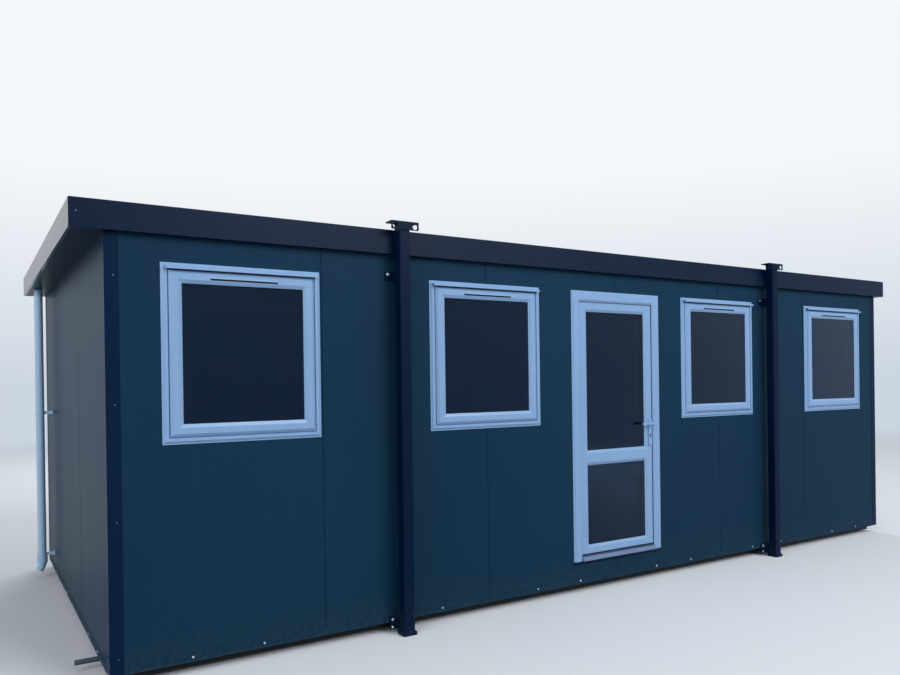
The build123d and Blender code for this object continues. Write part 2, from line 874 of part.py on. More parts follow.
# The upper plate lies on the wall, the lower one stands clear of the base flashing
upper_clamp_bottom = fascia_bottom - upper_clamp_drop - upper_clamp_height
lower_clamp_stand_off = trim_sheet + base_trim_lip
with BuildPart() as upper_leg_clamps:
    clamps(0, upper_clamp_bottom, upper_clamp_height)
save(upper_leg_clamps.part, "upper_leg_clamps")

with BuildPart() as lower_leg_clamps:
    clamps(lower_clamp_stand_off, lower_clamp_bottom, lower_clamp_height)
save(lower_leg_clamps.part, "lower_leg_clamps")

# Outriggers run from the chassis under the wall to the lower plate of each leg
with BuildPart() as leg_outriggers:
    for x, face, outward in leg_stations:
        y_range = sorted((face - outward * wall_thickness, face + outward * lower_clamp_stand_off))
        block(
            (x - outrigger_width / 2, x + outrigger_width / 2),
            y_range,
            (chassis_bottom, chassis_bottom + outrigger_height),
        )
save(leg_outriggers.part, "leg_outriggers")

# Rainwater pipe near the back of the left end
pipe_x = wall_left - pipe_offset
pipe_y = wall_front + pipe_from_front
pipe_top = wall_top - soffit_thickness
shoe_top = pipe_shoe_bottom + pipe_shoe_height
with BuildPart() as downpipe:
    with BuildLine() as pipe_path:
        FilletPolyline(
            (pipe_x, pipe_y, pipe_top),
            (pipe_x, pipe_y, shoe_top),
            (pipe_x - pipe_shoe_reach, pipe_y, pipe_shoe_bottom),
            radius=pipe_bend,
        )
    with BuildSketch(Plane((pipe_x, pipe_y, pipe_top), z_dir=(0, 0, -1))):
        Circle(pipe_diameter / 2)
        Circle(pipe_diameter / 2 - pipe_wall, mode=Mode.SUBTRACT)
    sweep(path=pipe_path.line)
    with BuildSketch(Plane.XY.offset(shoe_top + pipe_collar_rise)):
        with Locations((pipe_x, pipe_y)):
            Circle(pipe_diameter / 2 + pipe_collar)
            Circle((pipe_diameter - pipe_wall) / 2, mode=Mode.SUBTRACT)
    extrude(amount=pipe_collar_height)
save(downpipe.part, "downpipe")

with BuildPart() as downpipe_clips:
    for index in range(clip_count):
        with BuildSketch(Plane.XY.offset(clip_low + index * clip_spacing)):
            with Locations((pipe_x, pipe_y)):
                Circle(pipe_diameter / 2 + clip_band)
            with Locations(((pipe_x + wall_left) / 2, pipe_y)):
                Rectangle(pipe_offset, clip_stem)
            with Locations((wall_left - clip_band / 2, pipe_y)):
                Rectangle(clip_band, clip_base)
            with Locations((pipe_x, pipe_y)):
                Circle(pipe_diameter / 2 + clip_clearance, mode=Mode.SUBTRACT)
        extrude(amount=clip_height)
save(downpipe_clips.part, "downpipe_clips")
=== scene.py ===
"""Portable site cabin: finishes for its frame, and the small pieces that the frame carries."""
import logging
import math
from collections.abc import Sequence
from dataclasses import dataclass, field, replace
from enum import Enum
from typing import NamedTuple

import bmesh
import bpy
from mathutils import Matrix, Vector


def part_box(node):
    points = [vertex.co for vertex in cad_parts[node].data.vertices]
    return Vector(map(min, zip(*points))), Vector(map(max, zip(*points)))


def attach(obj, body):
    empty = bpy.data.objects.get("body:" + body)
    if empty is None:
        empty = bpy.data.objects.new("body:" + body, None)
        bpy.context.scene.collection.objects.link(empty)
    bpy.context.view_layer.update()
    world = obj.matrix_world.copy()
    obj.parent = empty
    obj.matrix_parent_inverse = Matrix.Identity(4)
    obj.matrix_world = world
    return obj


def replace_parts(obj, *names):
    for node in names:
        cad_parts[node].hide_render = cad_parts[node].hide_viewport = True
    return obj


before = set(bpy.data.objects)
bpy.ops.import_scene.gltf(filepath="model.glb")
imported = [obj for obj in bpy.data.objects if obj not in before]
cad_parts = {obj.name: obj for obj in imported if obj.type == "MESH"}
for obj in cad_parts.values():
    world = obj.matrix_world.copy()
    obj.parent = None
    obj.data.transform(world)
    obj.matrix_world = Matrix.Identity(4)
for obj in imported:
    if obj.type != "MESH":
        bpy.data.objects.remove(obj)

log = logging.getLogger("site_cabin")

Colour = tuple[float, float, float]
Point = tuple[float, float, float]
Outline = Sequence[tuple[float, float]]
Feeds = dict[str | int, object]
Socket = bpy.types.NodeSocket
Node = bpy.types.Node
Tree = bpy.types.NodeTree
Loop = list[bmesh.types.BMVert]

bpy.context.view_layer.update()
ROOT = "cabin"
DOOR = "door"
CREASE = math.radians(35.0)
UP = Vector((0.0, 0.0, 1.0))


class Block(NamedTuple):
    """The lowest and highest corner of one solid at rest."""

    low: Vector
    high: Vector

    @property
    def middle(self) -> Vector:
        """The point half way between the corners."""
        return (self.low + self.high) / 2

    @property
    def size(self) -> Vector:
        """The solid's size along each axis."""
        return self.high - self.low


class Facing(Enum):
    """The four walls of the cabin, by the way that they face in plan."""

    FRONT = (0.0, -1.0)
    REAR = (0.0, 1.0)
    LEFT = (-1.0, 0.0)
    RIGHT = (1.0, 0.0)

    @property
    def along(self) -> int:
        """The axis that runs along the wall: 0 for X, 1 for Y."""
        return 0 if self.value[0] == 0.0 else 1

    def stand(self, place: Vector) -> Matrix:
        """Place a local frame whose Z points out of the wall and whose Y points up."""
        out = Vector((*self.value, 0.0))
        return Matrix.Translation(place) @ Matrix((UP.cross(out), UP, out)).transposed().to_4x4()

    def on(self, block: Block, place: float, height: float) -> Matrix:
        """Stand a local frame on the outer face of a solid.

        Args:
            block: The solid's box.
            place: The place along the wall.
            height: The height.

        Returns:
            The frame's placing.
        """
        found = (block.low if sum(self.value) < 0 else block.high).copy()
        found[self.along] = place
        found.z = height
        return self.stand(found)


def solids(node: str) -> list[Block]:
    """Find the separate solids of a node.

    Args:
        node: The node's name.

    Returns:
        Their boxes, from left to right, then front to back, then upward.
    """
    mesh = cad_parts[node].data
    corners = [tuple(round(value, 5) for value in vertex.co) for vertex in mesh.vertices]
    leader = {corner: corner for corner in corners}

    def head(corner: Point) -> Point:
        """The corner that stands for all that are joined to this one."""
        while leader[corner] != corner:
            leader[corner] = leader[leader[corner]]
            corner = leader[corner]
        return corner

    for face in mesh.polygons:
        first, *others = (corners[index] for index in face.vertices)
        for other in others:
            leader[head(other)] = head(first)
    groups: dict[Point, list[Point]] = {}
    for corner in leader:
        groups.setdefault(head(corner), []).append(corner)
    boxes = [[Vector(map(pick, zip(*group))) for pick in (min, max)] for group in groups.values()]
    return sorted((Block(*box) for box in boxes), key=lambda block: tuple(block.low))


def whole(node: str) -> Block:
    """The box of a whole node at rest."""
    return Block(*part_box(node))


def outer_walls() -> Block:
    """The outer edges of the four walls in plan, at the ground."""
    front, rear = whole("front_panel_1").low.y, whole("rear_wall_panels").high.y
    left, right = whole("left_wall_panels").low.x, whole("right_wall_panels").high.x
    return Block(Vector((left, front, 0.0)), Vector((right, rear, 0.0)))


def named(starts: tuple[str, ...]) -> list[bpy.types.Object]:
    """The nodes of the frame whose names start in one of several ways."""
    return [node for name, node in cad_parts.items() if name.startswith(starts)]


def place_object(name: str, data: bpy.types.ID) -> bpy.types.Object:
    """Add an object to the scene.

    Args:
        name: Its name.
        data: Its mesh, light or camera.

    Returns:
        The object.
    """
    made = bpy.data.objects.new(name, data)
    bpy.context.collection.objects.link(made)
    return made


def srgb(*channels: int) -> Colour:
    """Turn a display colour's red, green and blue, 0 to 255, into linear scene values."""
    shares = (channel / 255 for channel in channels)
    return tuple(((share + 0.055) / 1.055) ** 2.4 if share > 0.04045 else share / 12.92 for share in shares)


@dataclass
class Graph:
    """A short way to lay nodes in one node tree."""

    tree: Tree
    column: int = 0
    spacing: int = 190

    def __post_init__(self) -> None:
        """Start from no nodes."""
        self.tree.nodes.clear()

    def node(self, kind: str, feeds: Feeds | None = None, **settings: object) -> Node:
        """Add one node.

        Args:
            kind: The node's type name.
            feeds: A socket, a colour or a value for each input, by its name or number.
            settings: Properties to set on it.

        Returns:
            The new node.
        """
        made = self.tree.nodes.new(kind)
        made.location = (self.column, 0)
        self.column += self.spacing
        for name, value in settings.items():
            setattr(made, name, value)
        for key, value in (feeds or {}).items():
            if isinstance(value, Socket):
                self.tree.links.new(value, made.inputs[key])
            elif isinstance(value, tuple):
                made.inputs[key].default_value = (*value, 1.0)
            else:
                made.inputs[key].default_value = value
        return made

    def math(self, operation: str, first: object, second: object, clamp: bool = False) -> Socket:
        """Work out one value from two, each a socket or a number."""
        made = self.node("ShaderNodeMath", {0: first, 1: second}, operation=operation, use_clamp=clamp)
        return made.outputs[0]

    def mix(self, factor: object, first: object, second: object) -> Socket:
        """Mix two colours by the share of the second one."""
        return self.node("ShaderNodeMix", {0: factor, 6: first, 7: second}, data_type="RGBA").outputs[2]

    def blend(self, factor: Socket, first: Socket, second: Socket) -> Socket:
        """Mix two shaders by the share of the second one."""
        return self.node("ShaderNodeMixShader", {0: factor, 1: first, 2: second}).outputs[0]

    def group(self, tree: Tree, **feeds: object) -> Node:
        """Place a shared group and feed its named inputs."""
        return self.node("ShaderNodeGroup", feeds, node_tree=tree)

    def bump(self, tree: Tree, scale: float, depth: float, **under: Socket) -> Socket:
        """Turn the heights of a shared group into a normal, over a coarser one if it is given."""
        height = self.group(tree, Scale=scale).outputs["Height"]
        return self.node("ShaderNodeBump", {"Distance": depth, "Height": height, **under}).outputs[0]

    def place(self, space: str = "Object") -> Socket:
        """The point that is being shaded, or the way that a ray of the world looks."""
        return self.node("ShaderNodeTexCoord").outputs[space]

    def split(self, vector: Socket) -> Node:
        """Split a vector into its X, Y and Z."""
        return self.node("ShaderNodeSeparateXYZ", {0: vector})

    def close(self, **results: Socket) -> Tree:
        """End a shared group, with what it puts out."""
        self.node("NodeGroupOutput", results)
        return self.tree

    def noise(self, scale: Socket, stretch: Vector, detail: float) -> Socket:
        """Lay noise in the object's own space, with a further scale along each axis."""
        drawn = self.node("ShaderNodeMapping", {"Vector": self.place(), "Scale": stretch})
        feeds = {"Vector": drawn.outputs[0], "Scale": scale, "Detail": detail}
        return self.node("ShaderNodeTexNoise", feeds).outputs["Fac"]


def blank_graph(owner: bpy.types.Material | bpy.types.World) -> Graph:
    """Start an empty graph in a material or a world."""
    owner.use_nodes = True
    return Graph(owner.node_tree)


class Effects:
    """Shader groups that several finishes share. Each puts out only colours, masks or heights."""

    room_slack: float = 0.002

    def __init__(self) -> None:
        """Build every group once."""
        even = Vector((1.0, 1.0, 1.0))
        self.grain = self.bumps("fine_grain", even, detail=2.0)
        self.waves = self.bumps("sheet_waves", Vector((1.0, 1.0, 0.12)), detail=1.0)
        self.drift = self.marks("tone_drift", even, detail=4.0, window=(0.35, 0.65))
        upright = Vector((14.0, 14.0, 0.45))
        self.streaks = self.marks("rain_streaks", upright, detail=5.0, window=(0.48, 0.72))
        self.splash = self.marks("ground_splash", 38.0 * even, detail=5.0, window=(0.42, 0.68), falloff=2.2)
        self.room = self.room_side()

    @staticmethod
    def start(name: str, inputs: Sequence[str], outputs: Sequence[str]) -> tuple[Graph, Node]:
        """Make a group. Its sockets called Color and Other are colours, and the others numbers.

        Args:
            name: The group's name.
            inputs: The names of its inputs.
            outputs: The names of its outputs.

        Returns:
            The group's graph, and the node that gives its inputs.
        """
        tree = bpy.data.node_groups.new(name, "ShaderNodeTree")
        for way, names in (("INPUT", inputs), ("OUTPUT", outputs)):
            for socket in names:
                kind = "NodeSocketColor" if socket in ("Color", "Other") else "NodeSocketFloat"
                tree.interface.new_socket(name=socket, in_out=way, socket_type=kind)
        graph = Graph(tree)
        return graph, graph.node("NodeGroupInput")

    def bumps(self, name: str, stretch: Vector, detail: float) -> Tree:
        """Even bumps, small ones as on a coating or long ones as in a hanging sheet, as Height."""
        graph, entry = self.start(name, ["Scale"], ["Height"])
        return graph.close(Height=graph.noise(entry.outputs["Scale"], stretch, detail))

    def marks(
        self, name: str, stretch: Vector, detail: float, window: tuple[float, float], falloff: float = 0.0,
    ) -> Tree:
        """Marks of another colour: a drift of tone, runs of rain or splashes near the ground.

        Args:
            name: The group's name.
            stretch: The noise's scale along each axis.
            detail: How much finer noise lies over it.
            window: Where in the noise the marks start and are full.
            falloff: How fast they thin out upward, up to Reach, or zero where they don't.

        Returns:
            The group, with Color and Mask outputs.
        """
        graph, entry = self.start(name, ["Color", "Other", "Scale", "Reach", "Amount"], ["Color", "Mask"])
        noise = graph.noise(entry.outputs["Scale"], stretch, detail)
        feeds = {"Value": noise, "From Min": window[0], "From Max": window[1]}
        shaped = graph.node("ShaderNodeMapRange", feeds).outputs[0]
        share = graph.math("MULTIPLY", shaped, entry.outputs["Amount"], clamp=True)
        if falloff:
            height = graph.math("DIVIDE", graph.split(graph.place()).outputs["Z"], entry.outputs["Reach"])
            low = graph.math("SUBTRACT", 1.0, height, clamp=True)
            share = graph.math("MULTIPLY", share, graph.math("POWER", low, falloff))
        mixed = graph.mix(share, entry.outputs["Color"], entry.outputs["Other"])
        return graph.close(Color=mixed, Mask=share)

    def room_side(self) -> Tree:
        """Tell the faces that look into the room from those outside.

        Returns:
            The group, with a Mask output that is 1 inside.
        """
        graph, _ = self.start("room_side", [], ["Mask"])
        split = graph.split(graph.place())
        room = whole("floor_deck")
        inside: object = 1.0
        for axis, name in enumerate("XY"):
            above = graph.math("GREATER_THAN", split.outputs[name], room.low[axis] - self.room_slack)
            below = graph.math("LESS_THAN", split.outputs[name], room.high[axis] + self.room_slack)
            inside = graph.math("MULTIPLY", inside, graph.math("MULTIPLY", above, below))
        return graph.close(Mask=inside)


@dataclass(frozen=True)
class Finish:
    """A coated finish. On sheet it can have shallow waves, and be white where it looks into the room."""

    name: str
    colour: Colour
    other: Colour
    drift: float = 0.4
    drift_scale: float = 1.2
    roughness: float = 0.45
    roughness_spread: float = 0.06
    metallic: float = 0.0
    specular: float = 0.3
    grain_scale: float = 700.0
    grain_depth: float = 0.00004
    splash: float = 0.0
    splash_reach: float = 0.5
    dirt: Colour = srgb(70, 74, 78)
    streaks: float = 0.0
    run: Colour = srgb(60, 72, 84)
    wave_scale: float = 5.0
    wave_depth: float = 0.0
    lined: bool = False
    lining: Colour = srgb(214, 218, 220)
    lining_other: Colour = srgb(204, 208, 212)
    lining_drift: float = 0.5

    def build(self, effects: Effects) -> bpy.types.Material:
        """Make the material.

        Args:
            effects: The shared shader groups.

        Returns:
            The finished material.
        """
        material = bpy.data.materials.new(self.name)
        graph = blank_graph(material)
        shader = graph.node("ShaderNodeBsdfPrincipled", self.feeds(graph, effects))
        graph.node("ShaderNodeOutputMaterial", {"Surface": shader.outputs[0]})
        return material

    def feeds(self, graph: Graph, effects: Effects) -> Feeds:
        """Work out the shader's inputs.

        Args:
            graph: The material's graph.
            effects: The shared shader groups.

        Returns:
            A socket or a value for each input, by its name.
        """
        marked, mask = self.base_colour(graph, effects)
        rough = graph.node("ShaderNodeMapRange", {
            "Value": mask,
            "To Min": self.roughness - self.roughness_spread,
            "To Max": self.roughness + self.roughness_spread,
        })
        return {
            "Base Color": marked,
            "Metallic": self.metallic,
            "Roughness": rough.outputs[0],
            "Specular IOR Level": self.specular,
            "Normal": self.normal(graph, effects),
        }

    def base_colour(self, graph: Graph, effects: Effects) -> tuple[Socket, Socket]:
        """Lay the colour, its drift, its rain streaks and its splashes, and the lining's white.

        Args:
            graph: The material's graph.
            effects: The shared shader groups.

        Returns:
            The colour, and a mask of where it is marked.
        """
        layers = (
            (effects.drift, self.other, self.drift, self.drift_scale),
            (effects.streaks, self.run, self.streaks, 1.0),
            (effects.splash, self.dirt, self.splash, 1.0),
        )
        colour, mask = self.colour, 0.0
        for layer, other, amount, scale in layers:
            if amount:
                marked = graph.group(
                    layer, Color=colour, Other=other, Scale=scale, Reach=self.splash_reach, Amount=amount,
                )
                colour, mask = marked.outputs["Color"], marked.outputs["Mask"]
        if self.lined:
            feeds = {"Color": self.lining, "Other": self.lining_other, "Amount": self.lining_drift}
            white = graph.group(effects.drift, Scale=1.0, **feeds).outputs["Color"]
            colour = graph.mix(graph.group(effects.room).outputs["Mask"], colour, white)
        return colour, mask

    def normal(self, graph: Graph, effects: Effects) -> Socket:
        """Lay the fine grain, over waves where there are any."""
        under = {}
        if self.wave_depth:
            under["Normal"] = graph.bump(effects.waves, self.wave_scale, self.wave_depth)
        return graph.bump(effects.grain, self.grain_scale, self.grain_depth, **under)


@dataclass(frozen=True)
class SealedGlass(Finish):
    """Lightly tinted glass of a sealed unit."""

    refraction: float = 1.38
    mirrored: Colour = (0.36, 0.56, 0.80)

    def feeds(self, graph: Graph, effects: Effects) -> Feeds:
        """Let the light through, with a slight drift in the tint."""
        return {
            "Base Color": self.base_colour(graph, effects)[0],
            "Roughness": self.roughness,
            "IOR": self.refraction,
            "Specular Tint": self.mirrored,
            "Transmission Weight": 1.0,
        }


PANEL_PAINT = Finish(
    "panel_paint", srgb(15, 50, 73), srgb(12, 44, 67), drift=0.6, drift_scale=0.5, roughness=0.6,
    specular=0.06, splash=0.4, splash_reach=0.4, streaks=0.07, run=srgb(40, 64, 80), wave_depth=0.0005,
    lined=True,
)
END_PAINT = replace(PANEL_PAINT, name="end_panel_paint", roughness=0.44, specular=0.036, wave_depth=0.002)
FLASHING_PAINT = Finish(
    "flashing_paint", srgb(6, 27, 53), srgb(4, 23, 47), roughness=0.42, specular=0.09, lined=True,
    wave_scale=3.0, wave_depth=0.0003, streaks=0.1, run=srgb(30, 44, 62),
)
TRIM_PAINT_AND_SOFFIT_SHADE = replace(
    FLASHING_PAINT, name="trim_paint_and_soffit_shade", colour=srgb(6, 31, 59), other=srgb(4, 27, 54), specular=0.05,
)
END_FLASHING = replace(FLASHING_PAINT, name="end_flashing_paint", roughness=0.26, specular=0.25)
LEG_PAINT = Finish(
    "leg_paint", srgb(3, 24, 53), srgb(2, 19, 45), roughness=0.42, specular=0.06, splash=0.3,
    dirt=srgb(62, 74, 88), grain_scale=260.0, grain_depth=0.00012,
)
CHASSIS_PAINT = Finish(
    "chassis_paint", srgb(9, 14, 23), srgb(14, 19, 28), roughness=0.6, specular=0.2, splash=0.3,
    dirt=srgb(48, 52, 58),
)
MEMBRANE = Finish(
    "roof_membrane", srgb(84, 90, 98), srgb(66, 72, 80), drift=0.8, drift_scale=0.9, roughness=0.8,
    grain_scale=300.0, grain_depth=0.0003,
)
DECK_BOARD = Finish("deck_board", srgb(150, 132, 104), srgb(130, 112, 88), roughness=0.8)
LINING = Finish("lining_board", srgb(212, 216, 219), srgb(202, 206, 210), roughness=0.6)
FLOOR_SHEET = Finish(
    "floor_sheet", srgb(88, 92, 98), srgb(72, 76, 84), drift=0.8, drift_scale=60.0, roughness=0.5,
)
UPVC = Finish(
    "white_upvc", srgb(130, 166, 209), srgb(122, 159, 203), roughness=0.3, specular=0.3,
    grain_depth=0.00001, streaks=0.12, run=srgb(103, 136, 175),
)
# Paler than the window uPVC though both are white: painted light that makes up for the shade the pipe stands
# in beside the end wall.
PIPE_UPVC_WITH_PAINTED_LIGHT = Finish(
    "pipe_upvc_with_painted_light", srgb(182, 220, 252), srgb(172, 210, 246), roughness=0.38, splash=0.25,
    dirt=srgb(110, 122, 136),
)
ALUMINIUM = Finish(
    "aluminium", srgb(122, 145, 180), srgb(108, 131, 166), roughness=0.36, metallic=0.4, splash=0.15,
)
ZINC = Finish(
    "bright_zinc", srgb(206, 214, 226), srgb(176, 184, 196), drift=0.8, drift_scale=40.0,
    roughness=0.3, metallic=1.0,
)
DULL_ZINC = replace(ZINC, name="dull_zinc", colour=srgb(88, 106, 130), other=srgb(70, 86, 108), roughness=0.4)
HINGE_STEEL = Finish("plated_steel", srgb(190, 196, 204), srgb(168, 174, 184), roughness=0.3, metallic=1.0)
# A dark metal for the lock cylinder, as dark as its keyhole looks; the cylinder's own colour is not known.
DARK_LOCK_METAL = Finish("dark_lock_metal", srgb(38, 40, 46), srgb(26, 28, 34), roughness=0.4, metallic=0.6)
RUBBER = Finish(
    "black_rubber", srgb(20, 23, 28), srgb(14, 16, 20), roughness=0.7, specular=0.15, grain_scale=900.0,
)
STUB_PLASTIC = replace(
    RUBBER, name="grey_plastic", colour=srgb(74, 88, 108), other=srgb(58, 70, 90), roughness=0.26,
    specular=0.5,
)
GLASS = SealedGlass(
    "clear_glass", srgb(136, 172, 202), srgb(128, 165, 196), drift=0.6, drift_scale=0.8, roughness=0.0,
)

NODE_FINISHES: dict[Finish, tuple[str, ...]] = {
    PANEL_PAINT: (
        "front_panel_", "door_head_panels", "door_sill_panels", "rear_wall_", "base_trims",
    ),
    END_PAINT: ("left_wall_", "right_wall_"),
    FLASHING_PAINT: ("fascia_front", "fascia_rear"),
    # The soffit panels get this dark paint to match how dark they look under the overhang: painted shade, as
    # their own colour is not known.
    TRIM_PAINT_AND_SOFFIT_SHADE: ("corner_trims", "soffit_panels"),
    END_FLASHING: ("fascia_left", "fascia_right"),
    LEG_PAINT: ("leg_posts", "leg_feet", "lifting_brackets", "upper_leg_clamps", "lower_leg_clamps"),
    CHASSIS_PAINT: ("chassis_", "leg_outriggers"),
    MEMBRANE: ("roof_membrane",),
    DECK_BOARD: ("roof_deck",),
    LINING: ("ceiling",),
    FLOOR_SHEET: ("floor_deck",),
    UPVC: (
        "window_1_", "window_2_", "window_3_", "window_4_", "door_frame", "door_leaf",
        "door_handle_plates", "door_levers",
    ),
    PIPE_UPVC_WITH_PAINTED_LIGHT: ("downpipe",),
    ALUMINIUM: ("door_threshold",),
    HINGE_STEEL: ("door_hinge_",),
    GLASS: ("window_glass", "door_glass"),
}


class Shop:
    """The finishes, made once, and what every node of the frame is given."""

    folded: tuple[str, ...] = ("fascia_", "corner_trims")
    fold_width: float = 0.002
    fold_angle: float = math.radians(40.0)
    joined: float = 0.00002

    def __init__(self) -> None:
        """Make the shared groups and every finish."""
        effects = Effects()
        finishes = (*NODE_FINISHES, ZINC, DULL_ZINC, DARK_LOCK_METAL, RUBBER, STUB_PLASTIC)
        self.materials = {finish.name: finish.build(effects) for finish in finishes}

    def dress_frame(self) -> None:
        """Give every node of the frame its finish."""
        for finish, starts in NODE_FINISHES.items():
            for node in named(starts):
                node.data.materials.clear()
                node.data.materials.append(self.materials[finish.name])
                log.info("%s has %s", node.name, finish.name)

    def soften(self) -> None:
        """Round the edges of the nodes that are folded from sheet."""
        for node in named(self.folded):
            weld = node.modifiers.new("joined_corners", "WELD")
            weld.merge_threshold = self.joined
            bevel = node.modifiers.new("folded_edges", "BEVEL")
            bevel.width = self.fold_width
            bevel.segments = 3
            bevel.limit_method = "ANGLE"
            bevel.angle_limit = self.fold_angle
            bevel.harden_normals = True


@dataclass
class Piece:
    """One mesh of the scene while it is being made, in the frame's own metres."""

    name: str
    slot: str
    material: bpy.types.Material
    body: str = ROOT
    mesh: bmesh.types.BMesh = field(default_factory=bmesh.new)

    def loop(self, stand: Matrix, points: Sequence[Sequence[float]]) -> Loop:
        """Add the corners of one loop, given in a local frame."""
        return [self.mesh.verts.new(stand @ Vector(point)) for point in points]

    def skin(self, loops: list[Loop], closed: bool = True) -> None:
        """Join each loop, or single point, to the next.

        Args:
            loops: The loops.
            closed: Whether the last is joined to the first.
        """
        for one, two in zip(loops, loops[1:] + (loops[:1] if closed else [])):
            count = max(len(one), len(two))
            for index in range(count):
                after = (index + 1) % count
                corners = ((one, index), (one, after), (two, after), (two, index))
                face = list(dict.fromkeys(loop[at % len(loop)] for loop, at in corners))
                if len(face) > 2:
                    self.mesh.faces.new(face)

    def turned(self, stand: Matrix, profile: Outline, sides: int = 20, closed: bool = False) -> None:
        """Turn a profile about the Z of a local frame.

        Args:
            stand: The local frame's placing.
            profile: Radius and height of each corner. A radius of zero is a point.
            sides: How many sides the turned form has.
            closed: Whether the profile closes on itself, as on a tube.
        """
        loops = []
        for radius, height in profile:
            count = sides if radius else 1
            angles = [math.tau * index / count for index in range(count)]
            points = [(radius * math.cos(angle), radius * math.sin(angle), height) for angle in angles]
            loops.append(self.loop(stand, points))
        self.skin(loops, closed)

    def mitred(self, stand: Matrix, width: float, height: float, section: Outline) -> None:
        """Run one closed section round a rectangle, with mitred corners.

        Args:
            stand: The local frame at the rectangle's middle.
            width: The rectangle's width.
            height: The rectangle's height.
            section: How far inside the rectangle and how far out each corner of the section lies.
        """
        loops = []
        for inset, out in section:
            right, top = width / 2 - inset, height / 2 - inset
            points = [(-right, -top, out), (right, -top, out), (right, top, out), (-right, top, out)]
            loops.append(self.loop(stand, points))
        self.skin(loops)

    def prism(self, stand: Matrix, outline: Outline, length: float) -> None:
        """Extrude an outline along the Z of a local frame.

        Args:
            stand: The local frame's placing.
            outline: The outline's corners.
            length: How far it reaches.
        """
        near, far = (self.loop(stand, [(x, y, out) for x, y in outline]) for out in (0.0, length))
        self.mesh.faces.new(near)
        self.mesh.faces.new(far)
        self.skin([near, far], closed=False)

    def slab(self, low: Sequence[float], high: Sequence[float], edge: float = 0.0) -> None:
        """Add a box with rounded edges.

        Args:
            low: Its lowest corner.
            high: Its highest corner.
            edge: The rounding, none at zero.
        """
        block = Block(Vector(low), Vector(high))
        shape = Matrix.Translation(block.middle) @ Matrix.Diagonal((*block.size, 1.0))
        made = bmesh.ops.create_cube(self.mesh, size=1.0, matrix=shape)
        if edge:
            edges = {line for vertex in made["verts"] for line in vertex.link_edges}
            bmesh.ops.bevel(self.mesh, geom=list(edges), offset=edge, segments=2, profile=0.5, affect="EDGES")

    def done(self) -> bpy.types.Object:
        """Turn the mesh into a finished piece that rides on its body.

        Returns:
            The piece.
        """
        bmesh.ops.recalc_face_normals(self.mesh, faces=self.mesh.faces)
        mesh = bpy.data.meshes.new(self.name)
        self.mesh.to_mesh(mesh)
        self.mesh.free()
        mesh.materials.append(self.material)
        mesh.shade_smooth()
        mesh.set_sharp_from_angle(angle=CREASE)
        piece = place_object(self.name, mesh)
        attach(piece, self.body)
        log.info("%s: %d faces on %s", self.name, len(mesh.polygons), self.body)
        return piece


@dataclass(frozen=True)
class HexHead:
    """A hexagon head or nut on its round flange."""

    flange_radius: float
    flange: float
    across_flats: float
    head: float
    edge: float

    def set_in(self, piece: Piece, stand: Matrix, turn: float = 0.0) -> None:
        """Add one head.

        Args:
            piece: The piece that it joins.
            stand: The local frame, with Z out of the surface.
            turn: How far the hexagon is turned, in degrees.
        """
        seat = self.flange / 2
        rim = self.flange_radius - self.edge
        wide, thick = self.flange_radius, self.flange
        piece.turned(stand, [(0.0, 0.0), (wide, 0.0), (wide, seat), (rim, thick), (0.0, thick)])
        corner = self.across_flats / 2 / math.cos(math.radians(30.0))
        top = self.flange + self.head
        bevel = [(corner, top - self.edge), (corner - self.edge, top)]
        turned = stand @ Matrix.Rotation(math.radians(turn), 4, "Z")
        piece.turned(turned, [(0.0, seat), (corner, seat), *bevel, (0.0, top)], sides=6)


SHEET_SCREW = HexHead(flange_radius=0.0068, flange=0.0016, across_flats=0.008, head=0.0042, edge=0.0007)
TRIM_SCREW = HexHead(flange_radius=0.005, flange=0.001, across_flats=0.0055, head=0.0026, edge=0.0005)
CLAMP_BOLT = HexHead(flange_radius=0.0105, flange=0.0022, across_flats=0.017, head=0.007, edge=0.0012)


@dataclass(frozen=True)
class PanHead:
    """A small domed screw head with a recess."""

    radius: float = 0.0038
    rise: float = 0.0016
    steps: int = 4
    sides: int = 14

    def set_in(self, piece: Piece, stand: Matrix) -> None:
        """Add one head.

        Args:
            piece: The piece that it joins.
            stand: The local frame, with Z out of the surface.
        """
        arc = [math.radians(90.0) * index / self.steps for index in range(self.steps)]
        dome = [(self.radius * math.cos(angle), self.rise * math.sin(angle)) for angle in arc]
        dish = [(self.radius * 0.3, self.rise), (self.radius * 0.2, self.rise * 0.4), (0.0, self.rise * 0.4)]
        piece.turned(stand, [(0.0, 0.0), *dome, *dish], sides=self.sides)


@dataclass
class Work:
    """A sub-assembly, whose pieces take their finishes from the shop."""

    shop: Shop

    def piece(self, name: str, slot: str, finish: Finish, body: str = ROOT) -> Piece:
        """Start one piece in its finish."""
        return Piece(name, slot, self.shop.materials[finish.name], body)


